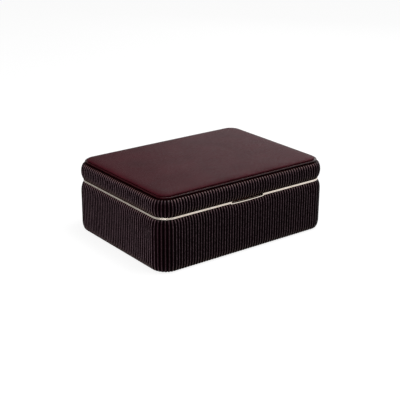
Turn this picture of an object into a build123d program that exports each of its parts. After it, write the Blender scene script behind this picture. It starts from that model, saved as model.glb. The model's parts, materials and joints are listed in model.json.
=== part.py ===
from build123d import *

import math
import os
from collections import namedtuple

# A hinged box for jewelry, covered in pleated leather, with a padded lid and a lift-out tray.
# Millimetres; X runs along the front, -Y is the front, +Z is up, the origin is on the floor
# under the middle of the box.

# Overall size, with the plan measured over the brass rims
box_width = 280.0
box_depth = 205.0
corner_radius = 20.5
parting_height = 74.4
lid_band_top = 99.0

# Clearances
parting_gap = 0.2
glue_gap = 0.1
seat_gap = 0.2
tray_gap = 0.7
knuckle_gap = 0.3

# Pleated leather: upright ribs round both bands, which roll in at their top and bottom edges
rib_pitch = 4.41
rib_depth = 1.6
leather_thickness = 0.9
corner_facets = 6
hem_inset = 12.0
base_leather_bottom = 0.4
base_bulge = 3.6
base_bottom_roll = 12.0
base_bottom_tuck = 5.2
base_top_roll = 15.0
base_top_tuck = 5.75
lid_bulge = 2.9
lid_bottom_roll = 11.0
lid_bottom_tuck = 5.0
lid_top_tuck = 5.5

# Wooden carcasses and panels
wall_inset = 10.0
panel_thickness = 4.0
rabbet_step = 3.0

# Brass rims and the finger notch in the middle of the front
rim_thickness = 1.2
notch_half_width = 27.0
notch_end_drop = 1.0
notch_middle_drop = 1.65
notch_strip_thickness = 1.3
notch_lap = 1.2
lid_notch_bite = 5.0

# Padded lid top, on a board that stands clear of the ribs on a narrower plinth
plinth_inset = 6.5
plinth_height = 1.9
lip_thickness = 1.3
lip_inset = 3.0
lip_chamfer = 0.35
pad_inset = 6.0
pad_side = 0.2
pad_roll_height = 1.2
pad_roll_width = 12.0
pad_crown = 1.3
pad_crown_width = 60.0

# Linings
felt_thickness = 1.3
lining_thickness = 1.6
ledge_width = 2.4
ledge_height = 44.0
lining_edge_drop = 0.2
least_radius = 3.0

# Mirror under the lid
mirror_frame_inset = 26.0
mirror_frame_width = 8.0
mirror_frame_thickness = 2.2
mirror_lip_width = 2.0
mirror_lip_thickness = 0.8
mirror_thickness = 1.2

# Lift-out tray
tray_height = 28.0
tray_wall = 3.0
tray_floor = 2.6
divider_thickness = 2.4
divider_drop = 2.0
front_bay_depth = 80.0
ring_bay_width = 150.0
rear_bay_count = 4
ring_roll_count = 7
ring_roll_height = 17.0
ring_roll_gap = 0.2
pull_width = 18.0
pull_height = 16.0
pull_drop = 1.0
pull_thickness = 1.2

# Dividers in the bottom of the box
low_divider_height = 31.0
low_bay_width = 82.0

# Butt hinges
hinge_spread = 85.0
hinge_length = 36.0
hinge_axis_out = 0.9
knuckle_radius = 2.1
middle_knuckle = 14.0
knuckle_end_gap = 0.2
pin_radius = 0.9
pin_gap = 0.1
pin_sides = 12
leaf_reach = 8.5
leaf_side_gap = 0.15
screw_inset = 6.6
screw_spread = 11.5
screw_head_radius = 1.8
screw_head_height = 0.9
screw_shank_radius = 0.9
screw_tip_radius = 0.3
screw_length = 8.0
screw_sides = 8

# Heights that follow from the sizes above
base_rim_top = parting_height - parting_gap / 2
base_rim_bottom = base_rim_top - rim_thickness
lid_rim_bottom = parting_height + parting_gap / 2
lid_rim_top = lid_rim_bottom + rim_thickness
base_wood_bottom = base_leather_bottom + leather_thickness + glue_gap
base_wood_top = base_rim_bottom - glue_gap
base_floor_top = base_wood_bottom + panel_thickness
lid_wood_bottom = lid_rim_top + glue_gap
lid_wood_top = lid_band_top - leather_thickness - glue_gap
lid_panel_bottom = lid_wood_top - panel_thickness
plinth_bottom = lid_band_top + glue_gap
lip_bottom = plinth_bottom + plinth_height
pad_bottom = lip_bottom + lip_thickness + glue_gap
floor_pad_bottom = base_floor_top + glue_gap
floor_pad_top = floor_pad_bottom + lining_thickness
tray_bottom = ledge_height + seat_gap
tray_top = tray_bottom + tray_height
tray_floor_top = tray_bottom + tray_floor
lid_ceiling_bottom = lid_panel_bottom - glue_gap - lining_thickness
mirror_frame_top = lid_ceiling_bottom - glue_gap
mirror_frame_bottom = mirror_frame_top - mirror_frame_thickness

# Insets from the rim line that follow from the sizes above
lining_outer = wall_inset + glue_gap
lining_inner = lining_outer + lining_thickness
ledge_inner = lining_inner + glue_gap + ledge_width
tray_outer = lining_inner + tray_gap
tray_inner = tray_outer + tray_wall
hinge_axis_y = box_depth / 2 + hinge_axis_out
knuckle_side_gap = knuckle_radius + knuckle_gap

Band = namedtuple("Band", "low high bulge bottom_roll bottom_tuck top_roll top_tuck")

base_band = Band(
    base_leather_bottom,
    base_wood_top,
    base_bulge,
    base_bottom_roll,
    base_bottom_tuck,
    base_top_roll,
    base_top_tuck,
)
lid_band = Band(
    lid_wood_bottom,
    lid_band_top,
    lid_bulge,
    lid_bottom_roll,
    lid_bottom_tuck,
    lid_band_top - lid_wood_bottom - lid_bottom_roll,
    lid_top_tuck,
)


def plan(inset, height):
    """Rounded rectangle, inset from the rim line, at a height."""
    radius = max(corner_radius - inset, least_radius)
    shape = RectangleRounded(box_width - 2 * inset, box_depth - 2 * inset, radius)
    return Pos(0, 0, height) * shape


def faceted_outline(inset, height, radius):
    """Points of the same outline, with a few straight facets round each corner."""
    half_x = box_width / 2 - inset - radius
    half_y = box_depth / 2 - inset - radius
    centres = [(half_x, half_y), (-half_x, half_y), (-half_x, -half_y), (half_x, -half_y)]
    points = []
    for corner, (centre_x, centre_y) in enumerate(centres):
        for facet in range(corner_facets + 1):
            angle = math.pi / 2 * (corner + facet / corner_facets)
            x = centre_x + radius * math.cos(angle)
            y = centre_y + radius * math.sin(angle)
            points.append((x, y, height))
    return points


def polygon_outline(centre_x, centre_y, height, radius, side_count):
    """Points of a level regular polygon."""
    points = []
    for side in range(side_count):
        angle = 2 * math.pi * side / side_count
        x = centre_x + radius * math.cos(angle)
        y = centre_y + radius * math.sin(angle)
        points.append((x, y, height))
    return points


def flat_face(points):
    return Face(Wire.make_polygon([Vector(*point) for point in points], close=True))


def faceted_solid(outlines):
    """Closed solid whose flat faces join each outline to the next."""
    faces = [flat_face(outlines[0]), flat_face(outlines[-1])]
    for low, high in zip(outlines, outlines[1:]):
        for here in range(len(low)):
            after = (here + 1) % len(low)
            faces.append(flat_face([low[here], low[after], high[after], high[here]]))
    return Solid(Shell(faces))


def slab(inset, low, high):
    """Straight-sided plate with the box's plan."""
    return extrude(plan(inset, low), high - low)


def block(x_low, x_high, y_low, y_high, z_low, z_high):
    """Box between two corners."""
    size = Box(x_high - x_low, y_high - y_low, z_high - z_low)
    return Pos((x_low + x_high) / 2, (y_low + y_high) / 2, (z_low + z_high) / 2) * size


def roll_drop(distance, roll, tuck):
    """How far a quarter ellipse has drawn in, at a distance from the band's edge."""
    if distance >= roll:
        return 0.0
    share = 1 - distance / roll
    return tuck * (1 - math.sqrt(1 - share * share))


def crest_offset(band, height):
    """How far the rib crests stand outside the rim line."""
    low_drop = roll_drop(height - band.low, band.bottom_roll, band.bottom_tuck)
    high_drop = roll_drop(band.high - height, band.top_roll, band.top_tuck)
    return band.bulge - low_drop - high_drop


def band_levels(band):
    """Heights of the sections that a band is lofted through."""
    levels = [
        band.low,
        band.low + band.bottom_roll * 0.3,
        band.low + band.bottom_roll,
        band.high - band.top_roll,
        band.high - band.top_roll * 0.35,
        band.high,
    ]
    distinct = [levels[0]]
    for level in levels[1:]:
        if level > distinct[-1] + 0.01:
            distinct.append(level)
    return distinct


def rim_line_point(distance):
    """Place and outward direction on the rim line, from the middle of the front."""
    half_width = box_width / 2
    half_depth = box_depth / 2
    straight_x = box_width - 2 * corner_radius
    straight_y = box_depth - 2 * corner_radius
    quarter = corner_radius * math.pi / 2
    sides = [
        (straight_x, -90, half_depth),
        (straight_y, 0, half_width),
        (straight_x, 90, half_depth),
        (straight_y, 180, half_width),
        (straight_x, 270, half_depth),
    ]
    along = distance + straight_x / 2
    for length, facing, out in sides:
        angle = math.radians(facing)
        normal = (math.cos(angle), math.sin(angle))
        if along <= length:
            slide = along - length / 2
            x = out * normal[0] - slide * normal[1]
            y = out * normal[1] + slide * normal[0]
            return x, y, normal[0], normal[1]
        along -= length
        if along <= quarter:
            centre_out = out - corner_radius
            centre_x = centre_out * normal[0] - length / 2 * normal[1]
            centre_y = centre_out * normal[1] + length / 2 * normal[0]
            turn = angle + along / corner_radius
            x = centre_x + corner_radius * math.cos(turn)
            y = centre_y + corner_radius * math.sin(turn)
            return x, y, math.cos(turn), math.sin(turn)
        along -= quarter


def rim_line_length():
    straight = 2 * (box_width - 2 * corner_radius) + 2 * (box_depth - 2 * corner_radius)
    return straight + 2 * math.pi * corner_radius


def pleated_outline(band, height):
    """Closed zigzag of rib crests and valleys at a height."""
    crest = crest_offset(band, height)
    rib_count = round(rim_line_length() / rib_pitch)
    half_pitch = rim_line_length() / rib_count / 2
    points = []
    for step in range(2 * rib_count):
        x, y, out_x, out_y = rim_line_point(step * half_pitch)
        offset = crest - rib_depth * (step % 2)
        points.append((x + offset * out_x, y + offset * out_y, height))
    return make_face(Polyline(*points, close=True))


def band_core(band, depth):
    """Smooth body that follows a band, at a depth under its rib crests."""
    outlines = []
    for height in band_levels(band):
        inset = depth - crest_offset(band, height)
        outlines.append(faceted_outline(inset, height, corner_radius - inset))
    return faceted_solid(outlines)


def pleated_leather(band, open_low, open_high):
    """Leather skin with a hem that turns in over one edge of the wood."""
    skin = loft([pleated_outline(band, height) for height in band_levels(band)], ruled=True)
    core = band_core(band, rib_depth + leather_thickness)
    skin -= core & slab(-base_bulge, open_low, open_high)
    return skin - slab(hem_inset, band.low - 1, band.high + 1)


def pocket(low, high):
    """Room inside the wooden walls, whose small corner radius just clears the lining boards."""
    radius = lining_inner - wall_inset
    shape = RectangleRounded(box_width - 2 * wall_inset, box_depth - 2 * wall_inset, radius)
    return extrude(Pos(0, 0, low) * shape, high - low)


def wood_ring(band, low, high):
    """Solid wall ring that backs the leather, before its panel and screws."""
    core = band_core(band, rib_depth + leather_thickness + glue_gap)
    body = core & slab(-base_bulge, low, high)
    return body - pocket(low - 1, high + 1)


def notch_profile(drop, thickness, half_width):
    """Bowed strip, seen from the front, whose top lies a drop below the base rim's top."""
    end = base_rim_top - notch_end_drop - drop
    middle = base_rim_top - notch_middle_drop - drop
    top = ThreePointArc((-half_width, end), (0, middle), (half_width, end))
    low = ThreePointArc(
        (half_width, end - thickness),
        (0, middle - thickness),
        (-half_width, end - thickness),
    )
    right = Line(top @ 1, low @ 0)
    left = Line(low @ 1, top @ 0)
    return make_face([top, right, low, left])


def through_front(profile, y_inner, length):
    """Profile in the front plane, extruded forward from a place inside the wall."""
    return extrude(Plane.XZ.offset(-y_inner) * profile, length)


def notch_strip():
    half_width = notch_half_width + notch_lap
    profile = notch_profile(0, notch_strip_thickness, half_width)
    return through_front(profile, wall_inset - box_depth / 2, wall_inset)


def notch_cutter():
    """Room for the bowed strip in the leather and the wood of the base."""
    half_width = notch_half_width + notch_lap + glue_gap
    profile = notch_profile(
        notch_strip_thickness + glue_gap - 2 * notch_middle_drop,
        2 * notch_middle_drop,
        half_width,
    )
    reach = wall_inset + glue_gap / 2
    return through_front(profile, reach - box_depth / 2, reach + 2 * base_bulge)


def hinge_slots(low, high):
    """Gaps in a rim that take the hinge leaves."""
    half = hinge_length / 2 + leaf_side_gap
    y_inner = box_depth / 2 - leaf_reach - glue_gap
    slots = []
    for centre in (-hinge_spread, hinge_spread):
        slots.append(block(centre - half, centre + half, y_inner, box_depth, low - 1, high + 1))
    return slots


def rim_frame(low, high):
    """Flat brass frame on the edge of the wooden walls."""
    return slab(0, low, high) - pocket(low - 1, high + 1)


def base_rim():
    """Brass frame on the base, with a bowed dip where a finger goes in."""
    rim = rim_frame(base_rim_bottom, base_rim_top)
    front = -box_depth / 2
    rim -= block(
        -notch_half_width,
        notch_half_width,
        front - 1,
        front + wall_inset + 1,
        base_rim_bottom - 1,
        base_rim_top + 1,
    )
    rim += notch_strip()
    for slot in hinge_slots(base_rim_bottom, base_rim_top):
        rim -= slot
    return rim


def lid_rim():
    """Brass frame under the lid, cut back above the finger notch."""
    rim = rim_frame(lid_rim_bottom, lid_rim_top)
    front = -box_depth / 2
    rim -= block(
        -notch_half_width,
        notch_half_width,
        front - 1,
        front + lid_notch_bite,
        lid_rim_bottom - 1,
        lid_rim_top + 1,
    )
    for slot in hinge_slots(lid_rim_bottom, lid_rim_top):
        rim -= slot
    return rim


def knuckle_barrel(x_low, x_high):
    """Round outside of a knuckle, on the hinge axis."""
    barrel = Rotation(0, 90, 0) * Cylinder(knuckle_radius, x_high - x_low)
    return Pos((x_low + x_high) / 2, hinge_axis_y, parting_height) * barrel


def pin_bar(radius, x_low, x_high):
    """Many-sided bar on the hinge axis, for a pin and for the bore round it."""
    bar = extrude(Plane.YZ * RegularPolygon(radius, pin_sides), x_high - x_low)
    return Pos(x_low, hinge_axis_y, parting_height) * bar


def knuckle_spans(centre, in_base):
    """Stretches of the hinge axis that one leaf's knuckles take."""
    half = hinge_length / 2
    middle = middle_knuckle / 2
    if in_base:
        return [
            (centre - half, centre - middle - knuckle_end_gap),
            (centre + middle + knuckle_end_gap, centre + half),
        ]
    return [(centre - middle, centre + middle)]


def screw(x, up, growth):
    """Countersunk wood screw with its head at the parting line, or the hole for it."""
    head_face = lid_rim_bottom if up else base_rim_top
    direction = 1 if up else -1
    y = box_depth / 2 - screw_inset
    steps = [
        (glue_gap - growth, screw_head_radius + growth),
        (glue_gap + screw_head_height, screw_shank_radius + growth),
        (screw_length - screw_shank_radius, screw_shank_radius + growth),
        (screw_length + growth, screw_tip_radius + growth),
    ]
    outlines = []
    for depth, radius in steps:
        height = head_face + direction * depth
        outlines.append(polygon_outline(x, y, height, radius, screw_sides))
    return faceted_solid(outlines)


def screw_pair(centre, up, growth):
    return [screw(centre + side, up, growth) for side in (-screw_spread, screw_spread)]


def screw_set(up, growth):
    return screw_pair(-hinge_spread, up, growth) + screw_pair(hinge_spread, up, growth)


def hinge_leaf(centre, in_base):
    """Leaf plate with its knuckles, bored for the pin."""
    low = base_rim_bottom + glue_gap if in_base else lid_rim_bottom
    high = base_rim_top if in_base else lid_rim_top - glue_gap
    half = hinge_length / 2
    y_inner = box_depth / 2 - leaf_reach
    plate_edge = hinge_axis_y - knuckle_side_gap
    leaf = block(centre - half, centre + half, y_inner, plate_edge, low, high)
    for x_low, x_high in knuckle_spans(centre, in_base):
        leaf += block(x_low, x_high, plate_edge - 1, hinge_axis_y, low, high)
        leaf += knuckle_barrel(x_low, x_high)
    leaf -= pin_bar(pin_radius + pin_gap, centre - half - 1, centre + half + 1)
    for hole in screw_pair(centre, not in_base, glue_gap):
        leaf -= hole
    return leaf


def hinge_leaves(in_base):
    return [hinge_leaf(centre, in_base) for centre in (-hinge_spread, hinge_spread)]


def hinge_pins():
    half = hinge_length / 2
    pins = []
    for centre in (-hinge_spread, hinge_spread):
        pins.append(pin_bar(pin_radius, centre - half, centre + half))
    return pins


def base_carcass():
    """Wooden walls of the base, rabbeted underneath for the bottom panel."""
    walls = wood_ring(base_band, base_wood_bottom, base_wood_top)
    walls -= slab(wall_inset - rabbet_step, base_wood_bottom - 1, base_floor_top)
    walls -= notch_cutter()
    for hole in screw_set(False, glue_gap):
        walls -= hole
    return walls


def lid_carcass():
    """Wooden walls of the lid, rabbeted on top for the top panel."""
    walls = wood_ring(lid_band, lid_wood_bottom, lid_wood_top)
    walls -= slab(wall_inset - rabbet_step, lid_panel_bottom, lid_wood_top + 1)
    for hole in screw_set(True, glue_gap):
        walls -= hole
    return walls


def base_leather():
    skin = pleated_leather(base_band, base_wood_bottom - glue_gap, base_band.high + 1)
    return skin - notch_cutter()


def lid_leather():
    return pleated_leather(lid_band, lid_band.low - 1, lid_wood_top + glue_gap)


def rabbeted_panel(low, high):
    return slab(wall_inset - rabbet_step + glue_gap, low, high)


def lid_pad_board():
    """Leather-wrapped board with a thin lip that stands out over its recessed plinth."""
    steps = [
        (plinth_inset, plinth_bottom),
        (plinth_inset, lip_bottom),
        (lip_inset + lip_chamfer, lip_bottom),
        (lip_inset, lip_bottom + lip_chamfer),
        (lip_inset, lip_bottom + lip_thickness - lip_chamfer),
        (lip_inset + lip_chamfer, lip_bottom + lip_thickness),
    ]
    outlines = []
    for inset, height in steps:
        outlines.append(faceted_outline(inset, height, corner_radius - inset))
    return faceted_solid(outlines)


def pad_rise(distance):
    """Height of the rolled edge and the crown, at a distance in from the pad's edge."""
    rolled = pad_roll_height - roll_drop(distance, pad_roll_width, pad_roll_height)
    crown = pad_crown * (1 - (1 - distance / pad_crown_width) ** 2)
    return rolled + crown


def pad_form(depth):
    """Crowned cushion with rolled sides, at a depth under the leather's surface."""
    inset = pad_inset + depth
    radius = corner_radius - inset
    side_top = pad_bottom + pad_side + leather_thickness + glue_gap - depth
    steps = [0]
    steps += [pad_roll_width * share for share in (0.12, 0.4, 1)]
    steps += [pad_crown_width * share for share in (0.3, 0.6, 1)]
    outlines = [faceted_outline(inset, pad_bottom, radius)]
    for step in steps:
        outlines.append(faceted_outline(inset + step, side_top + pad_rise(step), radius))
    return faceted_solid(outlines)


def board_walls(outer_inset, inner_inset, low, high):
    """Four straight boards along the inside of a wall, which meet at its inner corners."""
    outer_x = box_width / 2 - outer_inset
    outer_y = box_depth / 2 - outer_inset
    inner_x = box_width / 2 - inner_inset
    inner_y = box_depth / 2 - inner_inset
    return [
        block(-inner_x, inner_x, -outer_y, -inner_y, low, high),
        block(-inner_x, inner_x, inner_y, outer_y, low, high),
        block(-outer_x, -inner_x, -inner_y, inner_y, low, high),
        block(inner_x, outer_x, -inner_y, inner_y, low, high),
    ]


def square_slab(inset, low, high):
    """Square-cornered plate, inset from the rim line."""
    half_x = box_width / 2 - inset
    half_y = box_depth / 2 - inset
    return block(-half_x, half_x, -half_y, half_y, low, high)


def base_lining():
    """Suede-covered boards round the inside of the base."""
    top = base_rim_top - lining_edge_drop
    return board_walls(lining_outer, lining_inner, floor_pad_bottom, top)


def tray_ledge():
    """Lower boards inside the lining, which the tray stands on."""
    return board_walls(lining_inner + glue_gap, ledge_inner, floor_pad_bottom, ledge_height)


def lid_lining():
    low = lid_rim_bottom + lining_edge_drop
    return board_walls(lining_outer, lining_inner, low, lid_panel_bottom - glue_gap)


def lid_ceiling_pad():
    """Suede-covered board that fits between the lining boards of the lid."""
    return square_slab(lining_inner + glue_gap, lid_ceiling_bottom, lid_panel_bottom - glue_gap)


def mirror_frame():
    """Flat frame with a lip that holds the glass against the ceiling of the lid."""
    window = mirror_frame_inset + mirror_frame_width
    rabbet_low = mirror_frame_bottom + mirror_lip_thickness
    frame = square_slab(mirror_frame_inset, mirror_frame_bottom, mirror_frame_top)
    frame -= square_slab(window, mirror_frame_bottom - 1, mirror_frame_top + 1)
    return frame - square_slab(window - mirror_lip_width, rabbet_low, mirror_frame_top + 1)


def mirror_glass():
    inset = mirror_frame_inset + mirror_frame_width - mirror_lip_width + glue_gap
    low = mirror_frame_bottom + mirror_lip_thickness + glue_gap
    return square_slab(inset, low, low + mirror_thickness)


def tray_box():
    """Open tray with a flat floor, which lifts out of the base."""
    return slab(tray_outer, tray_bottom, tray_top) - slab(tray_inner, tray_floor_top, tray_top + 1)


def tray_edges():
    """Inner faces of the tray, and the far edge of its front bays."""
    half_x = box_width / 2 - tray_inner - glue_gap
    half_y = box_depth / 2 - tray_inner - glue_gap
    return half_x, half_y, -half_y + front_bay_depth


def tray_long_divider():
    half_x, half_y, bay_edge = tray_edges()
    low = tray_floor_top + glue_gap
    return block(-half_x, half_x, bay_edge, bay_edge + divider_thickness, low, tray_top - divider_drop)


def tray_rear_dividers():
    """Equal bays behind the long divider."""
    half_x, half_y, bay_edge = tray_edges()
    y_low = bay_edge + divider_thickness + glue_gap
    low = tray_floor_top + glue_gap
    pitch = 2 * half_x / rear_bay_count
    walls = []
    for number in range(1, rear_bay_count):
        x = -half_x + number * pitch
        x_low = x - divider_thickness / 2
        x_high = x + divider_thickness / 2
        walls.append(block(x_low, x_high, y_low, half_y, low, tray_top - divider_drop))
    return walls


def tray_front_dividers():
    """Dividers on both sides of the ring bay."""
    half_x, half_y, bay_edge = tray_edges()
    low = tray_floor_top + glue_gap
    high = tray_top - divider_drop
    inner = ring_bay_width / 2 + glue_gap
    outer = inner + divider_thickness
    right = block(inner, outer, -half_y, bay_edge - glue_gap, low, high)
    left = block(-outer, -inner, -half_y, bay_edge - glue_gap, low, high)
    return [left, right]


def ring_roll(width, length, height):
    """Padded roll with a half-round crown, lying along X."""
    side = height - width / 2
    arch = ThreePointArc((width / 2, side), (0, height), (-width / 2, side))
    foot = Polyline((-width / 2, side), (-width / 2, 0), (width / 2, 0), (width / 2, side))
    return extrude(Plane.YZ * make_face([arch, foot]), length)


def ring_rolls():
    """Rolls side by side in the middle front bay."""
    half_x, half_y, bay_edge = tray_edges()
    pitch = (bay_edge + half_y) / ring_roll_count
    roll = ring_roll(pitch - ring_roll_gap, ring_bay_width, ring_roll_height)
    low = tray_floor_top + glue_gap
    rolls = []
    for number in range(ring_roll_count):
        rolls.append(Pos(-ring_bay_width / 2, -half_y + (number + 0.5) * pitch, low) * roll)
    return rolls


def tray_pulls():
    """Round-topped leather tabs on the inner faces of the tray's ends."""
    half_x, half_y, bay_edge = tray_edges()
    top = tray_top - pull_drop
    y_middle = bay_edge + divider_thickness + glue_gap + pull_width
    straight = pull_height - pull_width / 2
    arch = ThreePointArc((pull_width / 2, straight), (0, pull_height), (-pull_width / 2, straight))
    foot = Polyline(
        (-pull_width / 2, straight),
        (-pull_width / 2, 0),
        (pull_width / 2, 0),
        (pull_width / 2, straight),
    )
    tab = extrude(Plane.YZ * make_face([arch, foot]), pull_thickness)
    left = Pos(-half_x, y_middle, top - pull_height) * tab
    right = Pos(half_x - pull_thickness, y_middle, top - pull_height) * tab
    return [left, right]


def low_dividers():
    """Two walls across the bottom of the box, which part it into three bays."""
    half_y = box_depth / 2 - ledge_inner - glue_gap
    low = floor_pad_top + glue_gap
    high = low + low_divider_height
    inner = low_bay_width / 2
    outer = inner + divider_thickness
    return [
        block(-outer, -inner, -half_y, half_y, low, high),
        block(inner, outer, -half_y, half_y, low, high),
    ]


def base_nodes():
    return {
        "base_underside_felt": slab(hem_inset + glue_gap, 0, felt_thickness),
        "base_bottom_panel": rabbeted_panel(base_wood_bottom, base_floor_top - glue_gap),
        "base_carcass": base_carcass(),
        "base_pleated_leather": base_leather(),
        "base_rim": base_rim(),
        "base_lining": base_lining(),
        "tray_ledge": tray_ledge(),
        "base_floor_pad": square_slab(ledge_inner + glue_gap, floor_pad_bottom, floor_pad_top),
        "low_dividers": low_dividers(),
        "hinge_base_leaves": hinge_leaves(True),
        "hinge_base_screws": screw_set(False, 0),
        "hinge_pins": hinge_pins(),
    }


def lid_nodes():
    return {
        "lid_carcass": lid_carcass(),
        "lid_top_panel": rabbeted_panel(lid_panel_bottom + glue_gap, lid_wood_top),
        "lid_pleated_leather": lid_leather(),
        "lid_rim": lid_rim(),
        "lid_pad_board": lid_pad_board(),
        "lid_pad_foam": pad_form(leather_thickness + glue_gap),
        "lid_pad_leather": pad_form(0) - pad_form(leather_thickness),
        "lid_lining": lid_lining(),
        "lid_ceiling_pad": lid_ceiling_pad(),
        "mirror_frame": mirror_frame(),
        "mirror_glass": mirror_glass(),
        "hinge_lid_leaves": hinge_leaves(False),
        "hinge_lid_screws": screw_set(True, 0),
    }


def tray_nodes():
    return {
        "tray_box": tray_box(),
        "tray_long_divider": tray_long_divider(),
        "tray_rear_dividers": tray_rear_dividers(),
        "tray_front_dividers": tray_front_dividers(),
        "ring_rolls": ring_rolls(),
        "tray_pulls": tray_pulls(),
    }


def write_node(name, shape):
    """Write one node, as a compound where it holds several pieces."""
    if isinstance(shape, list):
        solids = [solid for piece in shape for solid in piece.solids()]
    else:
        solids = list(shape.solids())
    body = solids[0] if len(solids) == 1 else Compound(children=solids)
    export_step(body, os.path.join("parts", name + ".step"))


def main():
    os.makedirs("parts", exist_ok=True)
    for nodes in (base_nodes(), lid_nodes(), tray_nodes()):
        for name, shape in nodes.items():
            write_node(name, shape)


main()
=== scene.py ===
import json
import math

import bmesh
import bpy
from mathutils import Matrix, Vector, noise


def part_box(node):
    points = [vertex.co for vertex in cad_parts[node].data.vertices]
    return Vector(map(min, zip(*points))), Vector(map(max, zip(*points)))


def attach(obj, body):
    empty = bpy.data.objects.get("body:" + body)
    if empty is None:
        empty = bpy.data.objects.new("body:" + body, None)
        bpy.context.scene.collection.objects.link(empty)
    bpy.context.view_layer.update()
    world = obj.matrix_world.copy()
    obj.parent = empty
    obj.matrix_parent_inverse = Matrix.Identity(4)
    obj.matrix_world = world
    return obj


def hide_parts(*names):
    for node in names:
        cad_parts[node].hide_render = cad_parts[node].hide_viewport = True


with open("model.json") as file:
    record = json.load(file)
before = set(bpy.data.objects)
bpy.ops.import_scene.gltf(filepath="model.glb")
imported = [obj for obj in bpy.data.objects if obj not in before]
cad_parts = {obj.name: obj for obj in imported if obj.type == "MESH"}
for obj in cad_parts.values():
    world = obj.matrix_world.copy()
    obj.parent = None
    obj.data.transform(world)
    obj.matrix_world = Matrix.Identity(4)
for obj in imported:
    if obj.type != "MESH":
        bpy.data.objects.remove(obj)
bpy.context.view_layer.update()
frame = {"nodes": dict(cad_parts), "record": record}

# A leather-covered jewelry box with a ribbed base and lid, brass rims and a padded lid top.
# Metres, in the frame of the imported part: X along the front, -Y the front, +Z up.

MM = 0.001

# Plan of the brass rims; every outline is inset from it
RIM_LOW, RIM_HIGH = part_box("base_rim")
BAND_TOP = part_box("base_pleated_leather")[1].z
HALF_X = RIM_HIGH.x
HALF_Y = -RIM_LOW.y
CORNER_RADIUS = 20.5 * MM
WALL_INSET = 10.0 * MM
POCKET_RADIUS = 1.7 * MM
GLUE_GAP = 0.1 * MM

# How finely outlines are divided, and the inner loop of a flat cap
CORNER_STEPS = 12
SIDE_STEPS = 4
ROUND_STEPS = 8
SOFT_STEPS = 6
OUTLINE_CELL = 20.0 * MM
LEAST_RADIUS = 0.2 * MM
CAP_INSET = 30.0 * MM
CAP_RADIUS = 4.0 * MM
MERGE_DISTANCE = 1e-7

# Ribs of the pleated leather
RIB_COUNT = 212
RIB_STEPS = 8
RIB_DEPTH = 2.1 * MM
RIB_LEVEL_STEP = 8.0 * MM
RIB_WANDER = 0.10 * MM
WANDER_PER_RIB = 0.7
WANDER_HEIGHT = 14.0 * MM
SKIN_DEPTH = 2.5 * MM
HIDDEN_CREST = 0.3
LEATHER_THICKNESS = 0.9 * MM
HEM_INSET = 12.0 * MM
HEM_CLEARANCE = 0.1 * MM
ROLL_STEPS = 7
BASE_BOTTOM_ROLL = 12.0 * MM
BASE_BOTTOM_TUCK = 5.2 * MM
BASE_TOP_ROLL = 15.0 * MM
BASE_TOP_TUCK = 5.75 * MM
LID_BOTTOM_ROLL = 11.0 * MM
LID_BOTTOM_TUCK = 5.0 * MM
LID_TOP_TUCK = 5.5 * MM

# Brass rims and finger notch
RIM_THICKNESS = 1.2 * MM
RIM_BEVEL = 0.16 * MM
FRONT_MARKS = (40 * MM, 60 * MM, 80 * MM, 100 * MM)
BACK_MARKS = (-50 * MM, -25 * MM, 0, 25 * MM, 50 * MM)
NOTCH_HALF = 27.0 * MM
STRIP_LAP = 1.2 * MM
STRIP_HALF = NOTCH_HALF + STRIP_LAP
STRIP_END_DROP = 1.0 * MM
STRIP_MIDDLE_DROP = 1.65 * MM
STRIP_THICKNESS = 1.3 * MM
STRIP_STEPS = 28
BITE_MARK = 5.0 * MM
BITE_DEPTH = 5.0 * MM

# Lip and padded top
LIP_BEAD = 0.65 * MM
LIP_SHELF = 8.0 * MM
LIP_SIDE_FADE = 0.5
PLINTH_INSET = 6.5 * MM
PAD_CELL = 5.0 * MM
PAD_LOWER_EDGE = ((0.5 * MM, 0), (0.15 * MM, 0.35 * MM), (0, 0.8 * MM))
PAD_ROLL_WIDTH = 12.0 * MM
PAD_ROLL_HEIGHT = 1.2 * MM
PAD_CROWN = 1.3 * MM
PAD_FULLNESS = 2.6
PAD_RING_COUNT = 26
PAD_RING_STEP = 3.0 * MM
PAD_CORNER_FALL = 0.6
PAD_LEAST_RADIUS = 5.0 * MM
RUMPLE_HEIGHT = 0.18 * MM
RUMPLE_SCALE = 22
RUMPLE_START = 10.0 * MM

# Hinges
HINGE_SPREAD = 85.0 * MM
HINGE_HALF = 18.0 * MM
HINGE_SETBACK = 0.9 * MM
PARTING_HEIGHT = 74.4 * MM
HINGE_AXIS = Vector((0, HALF_Y + HINGE_SETBACK, PARTING_HEIGHT))
LEAF_THICKNESS = 1.1 * MM
LEAF_REACH = 8.5 * MM
LEAF_SIDE_GAP = 0.15 * MM
LEAF_LAP = 0.5 * MM
LEAF_BEVEL = 0.15 * MM
NECK_BEVEL = 0.12 * MM
BAR_BEVEL = 0.2 * MM
BAR_SIDES = 32
KNUCKLE_RADIUS = 2.1 * MM
KNUCKLE_HALF = 7.0 * MM
KNUCKLE_GAP = 0.3 * MM
KNUCKLE_END_GAP = 0.2 * MM
PIN_RADIUS = 0.9 * MM
PIN_OVERHANG = 0.25 * MM
SCREW_INSET = 6.6 * MM
SCREW_SPREAD = 11.5 * MM
SCREW_SIDES = 24
# Depth and radius down a screw, in millimetres
SCREW_PROFILE = ((0.1, 1.72), (0.16, 1.8), (0.5, 1.35), (1.0, 0.9), (7.1, 0.9), (8.0, 0.3))

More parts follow.
